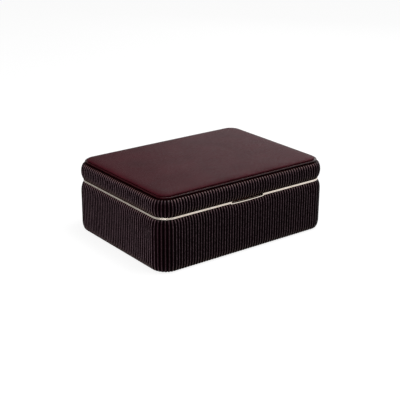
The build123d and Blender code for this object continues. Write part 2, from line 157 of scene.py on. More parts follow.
# Linings, pads and walls inside
LINING_THICKNESS = 1.6 * MM
LEDGE_THICKNESS = 2.4 * MM
LINING_OUTER_RADIUS = 2.6 * MM
LINING_INNER_RADIUS = 1.0 * MM
BOARD_BEVEL = 0.9 * MM
BOARD_ROUNDING = 0.6 * MM
BOARD_UNDERCUT = 0.1 * MM
BOARD_CORNER = 1.2 * MM
BOARD_CELL = 12.0 * MM
BOARD_RINGS = (6 * MM, 14 * MM, 26 * MM, 42 * MM, 62 * MM)
BOARD_RING_RADIUS = 2.0 * MM
DIVIDER = 2.4 * MM
FELT_LOWER_EDGE = 0.3 * MM
FELT_UPPER_EDGE = 0.2 * MM

# Mirror
FRAME_WIDTH = 8.0 * MM
FRAME_REBATE = 2.0 * MM
FRAME_ROUNDING = 0.7 * MM
FRAME_FACE_START = 1.6 * MM
FRAME_FACE_END = 1.2 * MM
FRAME_BACK = 0.8 * MM
FRAME_INNER_EDGE = (0.3 * MM, 0.2 * MM)
GLASS_BEVEL = 0.25 * MM

# Tray
TRAY_WALL = 3.0 * MM
TRAY_FLOOR = 2.6 * MM
TRAY_FOOT = 0.8 * MM
TRAY_FOOT_MIDDLE = 0.25 * MM
TRAY_COVE = 0.6 * MM
TRAY_COVE_MIDDLE = 0.18 * MM
ROLL_COUNT = 7
ROLL_GAP = 0.2 * MM
ROLL_STATIONS = 40
ROLL_ARC_STEPS = 16
ROLL_END_DRAW = 0.10
ROLL_END_LENGTH = 3.0 * MM
ROLL_RIPPLE = 0.012
ROLL_RIPPLE_SCALE = 60
PULL_THICKNESS = 1.2 * MM
PULL_SOFTNESS = 0.25 * MM
PULL_ARC_STEPS = 20

# Places in the noise where each hand-made unevenness is read
RIB_NOISE = 0.3
RUMPLE_NOISE = 0.5
ROLL_NOISE = 0.2
ROLL_NOISE_STEP = 3.1

# Camera of the photograph
CAMERA_AZIMUTH = -37.185
CAMERA_ELEVATION = 20.602
CAMERA_ROLL = 0.296
CAMERA_DISTANCE = 1382.24 * MM
CAMERA_ASIDE = -1.504 * MM
CAMERA_HEIGHT = 41.071 * MM
CAMERA_FOCAL_PIXELS = 970.675
CAMERA_NEAR = 0.01
CAMERA_FAR = 30
PICTURE_PIXELS = 400
SENSOR = 36.0

# Light round the object; each pair of pairs is a ramp between two places and their strengths
WORLD_FILL = 0.35
STUDIO_ACROSS = ((0.22, 0.08), (0.80, 0.89))
STUDIO_UPWARD = ((0.35, 1.0), (0.85, 0.90))
FLOOR_GLOW = 0.86
FLOOR_SWEEP = ((-0.60, 0.30), (0.50, 0.98))
FLOOR_COLOUR = 0.24
FLOOR_ROUGHNESS = 0.9
FLOOR_GAP = 0.2 * MM
FLOOR_SIZE = 6

# Dark and light shades of the materials
PAD_DYES = ((0.043, 0.0053, 0.009), (0.063, 0.010, 0.0152))
TRIM_DYES = ((0.050, 0.012, 0.017), (0.075, 0.020, 0.027))
RIM_METAL = ((0.80, 0.71, 0.605), (0.90, 0.82, 0.74))
HINGE_METAL = ((0.74, 0.62, 0.42), (0.84, 0.74, 0.55))
SCREW_METAL = ((0.70, 0.58, 0.38), (0.80, 0.70, 0.50))
STEEL_METAL = ((0.45, 0.45, 0.45), (0.68, 0.68, 0.66))
WOOD_STAINS = ((0.030, 0.016, 0.013), (0.060, 0.032, 0.026))
LINING_DYES = ((0.13, 0.032, 0.040), (0.20, 0.058, 0.068))
TRAY_DYES = ((0.14, 0.036, 0.044), (0.21, 0.062, 0.073))
ROLL_DYES = ((0.15, 0.040, 0.048), (0.23, 0.070, 0.080))
FELT_DYES = ((0.02, 0.012, 0.014), (0.06, 0.04, 0.043))
FOAM_SHADES = ((0.6, 0.55, 0.42), (0.83, 0.8, 0.7))
MIRROR_SHADES = ((0.80, 0.81, 0.82), (0.88, 0.88, 0.88))

# Dyes and gloss of the ribs and the lip, with the ribs' painted highlights, painted reflection and painted
# shade
RIB_DYES = ((0.0046, 0.0009, 0.0015), (0.0072, 0.0017, 0.0030))
# Painted highlight: the light lines along the rib crests
RIB_CREST_HIGHLIGHT = (0.172, 0.112, 0.132)
# Painted top light on the crests where the ribs turn up
RIB_PAINTED_TOP_LIGHT = (0.134, 0.070, 0.071)
# Painted warm reflection, as of the brass rims, on the crests where the ribs turn under
RIB_UNDER_REFLECTION = (0.135, 0.088, 0.076)
# Painted shade: the crests' painted highlight dimmed round the corners
RIB_CORNER_SHADE = (0.060, 0.032, 0.040)
# Painted shade on the tops of the bands, where the ribs turn in under the lip and the rims
RIB_HEM_SHADE = (0.016, 0.0012, 0.0016)
# Painted shade in the valleys between the ribs
RIB_VALLEY_SHADE = (0.0007, 0.0001, 0.0002)
RIB_SPECULAR = 0.018
RIB_POLISH = 0.30
LIP_DYE = (0.028, 0.003, 0.005)
LIP_ROUGHNESS = 0.16
LIP_SPECULAR = 0.36

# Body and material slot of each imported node, and the materials by name
BODY_OF = {node: body for body, nodes in frame["record"]["behaviour"]["bodies"].items()
           for node in nodes}
SLOT_OF = {part["node"]: part["material_slot"] for part in frame["record"]["subparts"]}
MATERIALS = {}


# Nodes shared by the materials and the stage

def combine(tree, operation, first, second):
    """Math node of two sockets, or of a socket and a number."""
    node = tree.nodes.new("ShaderNodeMath")
    node.operation = operation
    for socket, value in zip(node.inputs, (first, second)):
        if isinstance(value, float):
            socket.default_value = value
        else:
            tree.links.new(value, socket)
    return node.outputs[0]


def map_range(tree, source, low, high, smooth):
    """Ramp between two pairs of an input and an output, with soft or hard ends."""
    node = tree.nodes.new("ShaderNodeMapRange")
    node.interpolation_type = "SMOOTHSTEP" if smooth else "LINEAR"
    for socket, value in zip(("From Min", "To Min", "From Max", "To Max"), (*low, *high)):
        node.inputs[socket].default_value = value
    tree.links.new(source, node.inputs["Value"])
    return node.outputs["Result"]


class Nodes:
    """Node tree of one material, with short calls for the nodes that these materials use."""

    def __init__(self, name):
        self.material = bpy.data.materials.new(name)
        self.material.use_nodes = True
        MATERIALS[name] = self.material
        self.tree = self.material.node_tree
        self.shader = self.tree.nodes["Principled BSDF"]
        self.place = self.tree.nodes.new("ShaderNodeTexCoord").outputs["Object"]

    def link(self, source, target):
        self.tree.links.new(source, target)

    def stretched(self, scale):
        mapping = self.tree.nodes.new("ShaderNodeMapping")
        mapping.inputs["Scale"].default_value = scale
        self.link(self.place, mapping.inputs["Vector"])
        return mapping.outputs["Vector"]

    def noise(self, scale, detail, place=None):
        """Noise whose scale counts its waves in a metre."""
        node = self.tree.nodes.new("ShaderNodeTexNoise")
        node.inputs["Scale"].default_value = scale
        node.inputs["Detail"].default_value = detail
        self.link(place or self.place, node.inputs["Vector"])
        return node.outputs["Fac"]

    def cells(self, scale):
        """Distance to the edges of cells whose scale counts them in a metre."""
        node = self.tree.nodes.new("ShaderNodeTexVoronoi")
        node.feature = "DISTANCE_TO_EDGE"
        node.inputs["Scale"].default_value = scale
        self.link(self.place, node.inputs["Vector"])
        return node.outputs["Distance"]

    def ramp(self, source, low, high):
        return map_range(self.tree, source, low, high, smooth=False)

    def blend(self, share, first, second):
        """Colour between two colours or colour sockets."""
        node = self.tree.nodes.new("ShaderNodeMix")
        node.data_type = "RGBA"
        for socket, colour in (("A", first), ("B", second)):
            target = [s for s in node.inputs if s.name == socket and s.type == "RGBA"][0]
            if isinstance(colour, tuple):
                target.default_value = (*colour, 1)
            else:
                self.link(colour, target)
        self.link(share, node.inputs["Factor"])
        return [s for s in node.outputs if s.type == "RGBA"][0]

    def add(self, first, second, share):
        """The first value and a share of the second."""
        node = self.tree.nodes.new("ShaderNodeMath")
        node.operation = "MULTIPLY_ADD"
        self.link(second, node.inputs[0])
        node.inputs[1].default_value = share
        self.link(first, node.inputs[2])
        return node.outputs[0]

    def product(self, first, second):
        return combine(self.tree, "MULTIPLY", first, second)

    def attribute(self, name):
        node = self.tree.nodes.new("ShaderNodeAttribute")
        node.attribute_name = name
        return node.outputs["Fac"]

    def bump(self, height, distance, strength):
        node = self.tree.nodes.new("ShaderNodeBump")
        node.inputs["Distance"].default_value = distance
        node.inputs["Strength"].default_value = strength
        self.link(height, node.inputs["Height"])
        self.link(node.outputs["Normal"], self.shader.inputs["Normal"])

    def grain(self, cells, fine, distance):
        """Leather grain: small cells with creased edges and a finer unevenness."""
        self.bump(self.add(self.ramp(cells, (0, 0), (0.16, 1)), fine, 0.6), distance, 0.6)

    def colour(self, output):
        self.link(output, self.shader.inputs["Base Color"])

    def roughness(self, output):
        self.link(output, self.shader.inputs["Roughness"])

    def specular(self, output):
        self.link(output, self.shader.inputs["Specular IOR Level"])

    def set(self, **values):
        for name, value in values.items():
            self.shader.inputs[name.replace("_", " ")].default_value = value


# Materials

def grained_leather(name, dyes, grain, roughness, specular):
    """Smooth hide: fine cells, slow colour drift and a soft sheen, glazed where it is marked so."""
    nodes = Nodes(name)
    drift = nodes.noise(28, detail=4)
    fine = nodes.noise(1 / (3 * grain), detail=3)
    share = nodes.ramp(nodes.add(drift, fine, 0.35), (0.45, 0), (0.95, 1))
    polish = nodes.attribute("glaze")
    glaze = nodes.ramp(polish, (0, 0), (0.5, 1))
    nodes.colour(nodes.blend(glaze, nodes.blend(share, *dyes), LIP_DYE))
    matt = nodes.ramp(fine, (0.3, roughness - 0.06), (0.7, roughness + 0.08))
    nodes.roughness(nodes.add(matt, glaze, LIP_ROUGHNESS - roughness))
    nodes.grain(nodes.cells(1 / grain), fine, 0.05 * MM)
    nodes.specular(nodes.ramp(polish, (0.5, specular), (1, LIP_SPECULAR)))


def ribbed_leather(name):
    """Leather over cords, with painted light on its dye: painted highlights on the crests, a painted
    top light where the ribs turn up, a warm painted reflection where they turn under, and painted
    shade on the crests round the corners, in the valleys and toward the hems."""
    nodes = Nodes(name)
    crest = nodes.attribute("crest")
    tilt = nodes.attribute("upward")
    # Mask of the painted shade round the corners
    corner = nodes.ramp(nodes.attribute("turned"), (0.1, 0), (0.8, 1))
    fine = nodes.noise(900, detail=3)
    # Masks by how the ribs lean: painted top light where they turn up, painted warm reflection where they
    # turn under
    upward = nodes.ramp(tilt, (0.20, 0), (0.50, 1))
    under = nodes.ramp(tilt, (-0.30, 1), (0.0, 0))
    # Crest colour: painted highlight, turned to painted top light where the ribs turn up, to a painted warm
    # reflection where they turn under, and dimmed by painted shade round the corners
    wear_and_highlight = nodes.blend(under, nodes.blend(upward, RIB_CREST_HIGHLIGHT, RIB_PAINTED_TOP_LIGHT), RIB_UNDER_REFLECTION)
    wear_and_highlight = nodes.blend(corner, wear_and_highlight, RIB_CORNER_SHADE)
    dye = nodes.blend(nodes.ramp(nodes.noise(60, detail=4), (0.3, 0), (0.7, 1)), *RIB_DYES)
    # Where the crests' painted highlight lies, widened where the ribs turn up and under
    edge = nodes.add(nodes.add(nodes.add(crest, fine, 0.12), upward, 0.07), under, 0.04)
    base = nodes.blend(nodes.ramp(edge, (1.012, 0), (1.06, 1)), dye, wear_and_highlight)
    # Painted shade in the valleys
    base = nodes.blend(nodes.ramp(crest, (0.35, 1), (0.90, 0)), base, RIB_VALLEY_SHADE)
    # Painted shade toward the hems
    nodes.colour(nodes.blend(nodes.ramp(tilt, (0.58, 0), (0.77, 0.94)), base, RIB_HEM_SHADE))
    nodes.roughness(nodes.ramp(crest, (0.6, 0.85), (1.0, 0.30)))
    nodes.grain(nodes.cells(1400), fine, 0.04 * MM)
    rising = nodes.ramp(tilt, (0.35, 0), (0.60, 1))
    falling = nodes.ramp(tilt, (0.72, 1), (0.84, 0))
    shoulder = nodes.product(rising, falling)
    polish = nodes.product(shoulder, nodes.ramp(crest, (0.80, 0), (0.96, 1)))
    nodes.specular(nodes.ramp(polish, (0, RIB_SPECULAR), (1, RIB_POLISH)))


def suede(name, dyes):
    """Napped cloth: brushed lighter and darker patches with a soft sheen at grazing angles."""
    nodes = Nodes(name)
    brushed = nodes.noise(45, detail=5)
    nap = nodes.noise(2200, detail=2)
    share = nodes.ramp(nodes.add(brushed, nap, 0.5), (0.55, 0), (1.0, 1))
    nodes.colour(nodes.blend(share, *dyes))
    nodes.roughness(nodes.ramp(nap, (0.3, 0.86), (0.7, 0.98)))
    nodes.bump(nap, 0.06 * MM, 0.7)
    nodes.set(Specular_IOR_Level=0.2, Sheen_Weight=0.35, Sheen_Roughness=0.45)


def brass(name, shades, roughness):
    """Polished brass with faint polishing lines and a little tarnish."""
    nodes = Nodes(name)
    tarnish = nodes.noise(160, detail=4)
    lines = nodes.noise(500, detail=2, place=nodes.stretched((0.06, 0.06, 9)))
    nodes.colour(nodes.blend(nodes.ramp(tarnish, (0.35, 0), (0.65, 1)), *shades))
    wear_and_highlight = nodes.add(tarnish, lines, 0.5)
    nodes.roughness(nodes.ramp(wear_and_highlight, (0.5, roughness), (1.1, roughness + 0.06)))
    nodes.bump(lines, 0.01 * MM, 0.15)
    nodes.set(Metallic=1.0)


def steel(name):
    """Drawn steel with fine lines along the pin."""
    nodes = Nodes(name)
    lines = nodes.noise(700, detail=2, place=nodes.stretched((0.05, 4, 4)))
    nodes.colour(nodes.blend(lines, *STEEL_METAL))
    nodes.roughness(nodes.ramp(lines, (0.3, 0.24), (0.7, 0.4)))
    nodes.bump(lines, 0.01 * MM, 0.4)
    nodes.set(Metallic=1.0)


def wood(name):
    """Dark stained wood, with the grain along X."""
    nodes = Nodes(name)
    grain = nodes.noise(60, detail=6, place=nodes.stretched((0.3, 4, 4)))
    pores = nodes.noise(900, detail=2, place=nodes.stretched((0.1, 1, 1)))
    nodes.colour(nodes.blend(nodes.ramp(grain, (0.3, 0), (0.7, 1)), *WOOD_STAINS))
    nodes.roughness(nodes.ramp(grain, (0.3, 0.6), (0.7, 0.75)))
    nodes.bump(nodes.add(grain, pores, 0.5), 0.08 * MM, 0.5)


def felt(name):
    """Matted fibres in soft clumps."""
    nodes = Nodes(name)
    fibres = nodes.noise(1500, detail=4)
    clumps = nodes.noise(200, detail=4)
    nodes.colour(nodes.blend(nodes.add(clumps, fibres, 0.4), *FELT_DYES))
    nodes.roughness(nodes.ramp(fibres, (0.3, 0.9), (0.7, 1.0)))
    nodes.bump(nodes.add(clumps, fibres, 0.6), 0.15 * MM, 0.9)
    nodes.set(Specular_IOR_Level=0.1, Sheen_Weight=0.2)


def foam(name):
    """Open cells."""
    nodes = Nodes(name)
    cells = nodes.cells(900)
    nodes.colour(nodes.blend(nodes.ramp(cells, (0, 0), (0.2, 1)), *FOAM_SHADES))
    nodes.roughness(nodes.ramp(cells, (0, 1.0), (0.3, 0.85)))
    nodes.bump(cells, 0.2 * MM, 0.8)


def mirror(name):
    """Sharp silvering with a faint haze in its colour."""
    nodes = Nodes(name)
    nodes.colour(nodes.blend(nodes.noise(30, detail=3), *MIRROR_SHADES))
    nodes.set(Metallic=1.0, Roughness=0.0)


def make_materials():
    """One material for each slot, under the slot's name."""
    ribbed_leather("pleated_leather")
    grained_leather("pad_leather", PAD_DYES, grain=0.9 * MM, roughness=0.36, specular=0.035)
    grained_leather("frame_leather", TRIM_DYES, grain=0.8 * MM, roughness=0.5, specular=0.4)
    grained_leather("pull_leather", TRIM_DYES, grain=0.7 * MM, roughness=0.5, specular=0.4)
    brass("rim_brass", RIM_METAL, roughness=0.20)
    brass("hinge_brass", HINGE_METAL, roughness=0.24)
    brass("screw_brass", SCREW_METAL, roughness=0.28)
    steel("pin_steel")
    wood("wood")
    suede("suede", LINING_DYES)
    suede("tray_suede", TRAY_DYES)
    suede("roll_suede", ROLL_DYES)
    felt("felt")
    foam("foam")
    mirror("mirror")


# Mesh building

def dress(piece, *nodes):
    """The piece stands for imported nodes: it takes their body, slot and material."""
    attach(piece, BODY_OF[nodes[0]])
    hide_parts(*nodes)
    piece.data.materials.append(MATERIALS[SLOT_OF[nodes[0]]])
    return piece


def finish_mesh(name, mesh, sharp=35):
    """Object with smooth shading, except across edges sharper than an angle."""
    bmesh.ops.remove_doubles(mesh, verts=mesh.verts, dist=MERGE_DISTANCE)
    bmesh.ops.recalc_face_normals(mesh, faces=mesh.faces)
    for face in mesh.faces:
        face.smooth = True
    for edge in mesh.edges:
        if edge.is_manifold and edge.calc_face_angle() > math.radians(sharp):
            edge.smooth = False
    data = bpy.data.meshes.new(name)
    mesh.to_mesh(data)
    mesh.free()
    piece = bpy.data.objects.new(name, data)
    bpy.context.scene.collection.objects.link(piece)
    return piece


def add_loops(mesh, loops, joined):
    """Faces between loops of points. The last loop joins the first, or both get a cap."""
    rows = [[mesh.verts.new(point) for point in loop] for loop in loops]
    pairs = list(zip(rows, rows[1:]))
    if joined:
        pairs.append((rows[-1], rows[0]))
    for low, high in pairs:
        for here in range(len(low)):
            after = (here + 1) % len(low)
            mesh.faces.new((low[here], low[after], high[after], high[here]))
    if not joined:
        mesh.faces.new(rows[0])
        mesh.faces.new(rows[-1])
    return rows


def looped_piece(name, loops, *nodes, joined=False, sharp=35):
    """Piece made of loops alone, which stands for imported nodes."""
    mesh = bmesh.new()
    add_loops(mesh, loops, joined)
    return dress(finish_mesh(name, mesh, sharp), *nodes)


def bevelled_box(mesh, low, high, bevel, segments=3):
    """Block between two corners, with every edge rounded."""
    made = bmesh.ops.create_cube(mesh, size=1)["verts"]
    middle = [(a + b) / 2 for a, b in zip(low, high)]
    size = [b - a for a, b in zip(low, high)]
    for vert in made:
        vert.co = [m + s * c for m, s, c in zip(middle, size, vert.co)]
    edges = list({edge for vert in made for edge in vert.link_edges})
    bmesh.ops.bevel(mesh, geom=edges, offset=bevel, segments=segments, profile=0.5,
                    affect="EDGES", clamp_overlap=True)


def arc_points(centre_x, centre_y, radius, start, turn, steps):
    """Points on an arc, from a start angle through a turn, both in degrees."""
    points = []
    for step in range(steps + 1):
        angle = math.radians(start + turn * step / steps)
        points.append((centre_x + radius * math.cos(angle), centre_y + radius * math.sin(angle)))
    return points


def circle(centre_x, centre_y, radius, sides):
    return arc_points(centre_x, centre_y, radius, 0, 360, sides)[:-1]


def soft_ends(low, high, softness):
    """Places along a bar with softened ends, and how far its section shrinks there."""
    return ((low, softness), (low + softness, 0), (high - softness, 0), (high, softness))


def rounding(radius, degrees, steps):
    """How far in and how far below its top a rounded edge lies, from the outside inward."""
    places = []
    for step in range(steps + 1):
        turn = math.radians(degrees) * step / steps
        places.append((radius * (1 - math.cos(turn)), radius * (1 - math.sin(turn))))
    return places


def outline(inset, height, radius=None, cell=OUTLINE_CELL):
    """Rounded rectangle inset from the rims' plan, with as many points at every inset."""
    if radius is None:
        radius = max(CORNER_RADIUS - inset, LEAST_RADIUS)
    centre_x = HALF_X - inset - radius
    centre_y = HALF_Y - inset - radius
    corners = []
    for side_x, side_y, start in ((1, -1, -90), (1, 1, 0), (-1, 1, 90), (-1, -1, 180)):
        corners.append(arc_points(side_x * centre_x, side_y * centre_y, radius, start, 90, CORNER_STEPS))
    points = []
    for number, corner in enumerate(corners):
        points += [(*place, height) for place in corner]
        begin = Vector((*corner[-1], height))
        end = Vector((*corners[(number + 1) % 4][0], height))
        # The right and left sides run along Y, the back and front along X
        length = 2 * (HALF_X if number % 2 else HALF_Y)
        steps = max(2, round(length / cell))
        points += [tuple(begin.lerp(end, step / steps)) for step in range(1, steps)]
    return points


# Pleated leather

def rim_line_length():
    straight = 4 * (HALF_X + HALF_Y - 2 * CORNER_RADIUS)
    return straight + 2 * math.pi * CORNER_RADIUS


def rim_line_point(distance):
    """Place and outward direction on the rims' outline, from the middle of the front."""
    straight_x = 2 * (HALF_X - CORNER_RADIUS)
    straight_y = 2 * (HALF_Y - CORNER_RADIUS)
    quarter = CORNER_RADIUS * math.pi / 2
    along = (distance + straight_x / 2) % rim_line_length()
    for length, facing, out in ((straight_x, -90, HALF_Y), (straight_y, 0, HALF_X),
                                (straight_x, 90, HALF_Y), (straight_y, 180, HALF_X)):
        facing = math.radians(facing)
        out_x, out_y = math.cos(facing), math.sin(facing)
        if along <= length:
            slide = along - length / 2
            return out * out_x - slide * out_y, out * out_y + slide * out_x, out_x, out_y
        along -= length
        if along <= quarter:
            centre = out - CORNER_RADIUS
            centre_x = centre * out_x - length / 2 * out_y
            centre_y = centre * out_y + length / 2 * out_x
            turn = facing + along / CORNER_RADIUS
            out_x, out_y = math.cos(turn), math.sin(turn)
            return centre_x + CORNER_RADIUS * out_x, centre_y + CORNER_RADIUS * out_y, out_x, out_y
        along -= quarter


def rib_columns():
    """Places round the rim line, each with its direction and how far up its rib it lies."""
    pitch = rim_line_length() / RIB_COUNT
    columns = []
    for rib in range(RIB_COUNT):
        for step in range(RIB_STEPS):
            turn = math.pi * (step / RIB_STEPS - 0.5)
            along = (rib + 0.5 * math.sin(turn)) * pitch
            columns.append((*rim_line_point(along), math.cos(turn), rib))
    return columns


def roll_levels(roll, tuck):
    """Distance from a band's edge and how far the ribs have drawn in, over a quarter ellipse."""
    levels = []
    for step in range(ROLL_STEPS + 1):
        turn = math.pi / 2 * (1 - step / ROLL_STEPS)
        levels.append((roll * (1 - math.sin(turn)), tuck * (1 - math.cos(turn))))
    return levels


def band_levels(low, high, bulge, bottom_roll, bottom_tuck, top_roll, top_tuck):
    """Heights and how far the rib crests stand outside the rim line, from the bottom up."""
    bottom = [(low + rise, bulge - drop) for rise, drop in roll_levels(bottom_roll, bottom_tuck)]
    top = [(high - fall, bulge - drop) for fall, drop in reversed(roll_levels(top_roll, top_tuck))]
    start = bottom[-1][0]
    span = top[0][0] - start
    if span < RIB_LEVEL_STEP:
        # The two rolls meet and share one level
        return bottom + top[1:]
    count = round(span / RIB_LEVEL_STEP)
    between = [(start + span * step / count, bulge) for step in range(1, count)]
    return bottom + between + top


def level_tilts(levels):
    """How the crests lean at each level: 1 faces up, 0 outward and -1 down."""
    tilts = []
    for number in range(len(levels)):
        below = levels[max(number - 1, 0)]
        above = levels[min(number + 1, len(levels) - 1)]
        tilts.append(math.atan2(below[1] - above[1], above[0] - below[0]) / (math.pi / 2))
    return tilts


def inner_levels(levels, hem_below):
    """Heights and offsets of the skin's plain inside and its hem, after the ribbed levels."""
    bottom, first = levels[0]
    top, last = levels[-1]
    inner = [(height, crest - SKIN_DEPTH) for height, crest in reversed(levels)]
    if hem_below:
        hem = bottom + LEATHER_THICKNESS
        return inner[:-1] + [(hem, first - SKIN_DEPTH), (hem, -HEM_INSET), (bottom, -HEM_INSET)]
    hem = top - LEATHER_THICKNESS
    turned_in = [(top, -HEM_INSET), (hem, -HEM_INSET), (hem, last - SKIN_DEPTH)]
    return turned_in + [level for level in inner if level[0] < hem - HEM_CLEARANCE]


def strip_top(x):
    """Height of the bowed strip's top, which sags toward the middle of the notch."""
    sag = max(0.0, 1 - (x / STRIP_HALF) ** 2)
    return RIM_HIGH.z - STRIP_END_DROP - (STRIP_MIDDLE_DROP - STRIP_END_DROP) * sag


def notch_lowering(x, y):
    """How far the leather's top edge is cut down under the bowed strip of the notch."""
    if y > 0 or abs(x) > STRIP_HALF + GLUE_GAP:
        return 0.0
    return BAND_TOP - (strip_top(x) - STRIP_THICKNESS - GLUE_GAP)


def crest_offsets(columns, height, crest):
    """How far the ribbed side stands out, with a slight wander from rib to rib."""
    offsets = []
    for *_, share, rib in columns:
        place = (rib * WANDER_PER_RIB, height / WANDER_HEIGHT, RIB_NOISE)
        wander = RIB_WANDER * noise.noise(place)
        offsets.append(crest - RIB_DEPTH * (1 - share) + wander * share)
    return offsets


def skin_loop(columns, height, offsets, lowered):
    """Loop round a band. lowered is the share of the notch's lowering that it takes."""
    loop = []
    for (x, y, out_x, out_y, _, _), offset in zip(columns, offsets):
        z = height - notch_lowering(x, y) * lowered
        loop.append((x + offset * out_x, y + offset * out_y, z))
    return loop


def pleated_band(name, node, levels, hem_below, notched):
    """Closed leather skin: ribbed outside, plain inside, with a hem turned in at one edge."""
    columns = rib_columns()
    skin = [(height, crest_offsets(columns, height, crest)) for height, crest in levels]
    inside = inner_levels(levels, hem_below)
    skin += [(height, [offset] * len(columns)) for height, offset in inside]
    loops = []
    for height, offsets in skin:
        near_top = max(0.0, 1 - (levels[-1][0] - height) / BASE_TOP_ROLL)
        loops.append(skin_loop(columns, height, offsets, near_top if notched else 0.0))
    mesh = bmesh.new()
    crest = mesh.verts.layers.float.new("crest")
    upward = mesh.verts.layers.float.new("upward")
    turned = mesh.verts.layers.float.new("turned")
    rows = add_loops(mesh, loops, joined=True)
    tilts = level_tilts(levels) + [0.0] * len(inside)
    for number, (row, tilt) in enumerate(zip(rows, tilts)):
        for vert, (_, _, out_x, out_y, share, _) in zip(row, columns):
            vert[crest] = share if number < len(levels) else HIDDEN_CREST
            vert[upward] = tilt
            # 0 along the straight sides and 1 in the middle of a corner
            vert[turned] = 2 * abs(out_x * out_y)
    dress(finish_mesh(name, mesh, sharp=75), node)


def make_pleated_leather():
    low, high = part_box("base_pleated_leather")
    levels = band_levels(low.z, high.z, high.x - HALF_X, BASE_BOTTOM_ROLL, BASE_BOTTOM_TUCK,
                         BASE_TOP_ROLL, BASE_TOP_TUCK)
    pleated_band("base_ribs", "base_pleated_leather", levels, hem_below=True, notched=True)
    low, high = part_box("lid_pleated_leather")
    levels = band_levels(low.z, high.z, high.x - HALF_X, LID_BOTTOM_ROLL, LID_BOTTOM_TUCK,
                         high.z - low.z - LID_BOTTOM_ROLL, LID_TOP_TUCK)
    pleated_band("lid_ribs", "lid_pleated_leather", levels, hem_below=False, notched=False)


# Brass rims

def straight_stations(marks, side):
    """Outer and inner points along the front (-1) or the back (1), from (x, inset) marks."""
    return [((x, side * (HALF_Y - inset)), (x, side * (HALF_Y - WALL_INSET))) for x, inset in marks]


def corner_stations(side_x, side_y, start):
    """Outer and inner points round a corner."""
    arcs = []
    for inset, radius in ((0, CORNER_RADIUS), (WALL_INSET, POCKET_RADIUS)):
        centre_x = side_x * (HALF_X - inset - radius)
        centre_y = side_y * (HALF_Y - inset - radius)
        arcs.append(arc_points(centre_x, centre_y, radius, start, 90, CORNER_STEPS))
    return list(zip(*arcs))


def hinge_marks():
    """Marks along the back of a rim, with the slots for the hinge leaves."""
    half = HINGE_HALF + LEAF_SIDE_GAP
    slot = LEAF_REACH + GLUE_GAP
    left = [(-HINGE_SPREAD - half, 0), (-HINGE_SPREAD - half, slot),
            (-HINGE_SPREAD + half, slot), (-HINGE_SPREAD + half, 0)]
    right = [(-x, inset) for x, inset in reversed(left)]
    return left + [(x, 0) for x in BACK_MARKS] + right


def rim_stations(notch):
    """Outer and inner points round a rim, from the right of the notch to its left."""
    right = notch + [(x, 0) for x in FRONT_MARKS]
    left = [(-x, inset) for x, inset in reversed(right)]
    sides_y = [step / SIDE_STEPS * (HALF_Y - CORNER_RADIUS) for step in range(1 - SIDE_STEPS, SIDE_STEPS)]
    stations = straight_stations(right, -1)
    stations += corner_stations(1, -1, -90)
    stations += [((HALF_X, y), (HALF_X - WALL_INSET, y)) for y in sides_y]
    stations += corner_stations(1, 1, 0)
    stations += straight_stations(reversed(hinge_marks()), 1)
    stations += corner_stations(-1, 1, 90)
    stations += [((-HALF_X, y), (WALL_INSET - HALF_X, y)) for y in reversed(sides_y)]
    stations += corner_stations(-1, -1, 180)
    stations += straight_stations(left, -1)
    return stations


def rim_section(outer, inner, low, high):
    """Bevelled rectangle between an outer and an inner point."""
    outer, inner = Vector((*outer, 0)), Vector((*inner, 0))
    toward = (outer - inner).normalized() * RIM_BEVEL
    corners = [
        (outer - toward, low),
        (outer, low + RIM_BEVEL),
        (outer, high - RIM_BEVEL),
        (outer - toward, high),
        (inner + toward, high),
        (inner, high - RIM_BEVEL),
        (inner, low + RIM_BEVEL),
        (inner + toward, low),
    ]
    return [(point.x, point.y, z) for point, z in corners]


def add_rim(mesh, notch, low, high, joined):
    sections = [rim_section(outer, inner, low, high) for outer, inner in rim_stations(notch)]
    add_loops(mesh, sections, joined)


def add_bowed_strip(mesh):
    """Strip that closes the finger notch from below."""
    sections = []
    for step in range(STRIP_STEPS + 1):
        x = STRIP_HALF * (2 * step / STRIP_STEPS - 1)
        top = strip_top(x)
        outer, inner = (x, -HALF_Y), (x, WALL_INSET - HALF_Y)
        sections.append(rim_section(outer, inner, top - STRIP_THICKNESS, top))
    add_loops(mesh, sections, joined=False)


def make_rims():
    """The base's rim stops at the notch, and the lid's is cut back over it."""
    mesh = bmesh.new()
    add_rim(mesh, [(NOTCH_HALF, 0)], RIM_HIGH.z - RIM_THICKNESS, RIM_HIGH.z, joined=False)
    add_bowed_strip(mesh)
    dress(finish_mesh("base_rim_brass", mesh, sharp=50), "base_rim")
    low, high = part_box("lid_rim")
    bite = [(BITE_MARK, BITE_DEPTH), (NOTCH_HALF, BITE_DEPTH), (NOTCH_HALF, 0)]
    mesh = bmesh.new()
    add_rim(mesh, bite, low.z, high.z, joined=True)
    dress(finish_mesh("lid_rim_brass", mesh, sharp=50), "lid_rim")


# Padded top

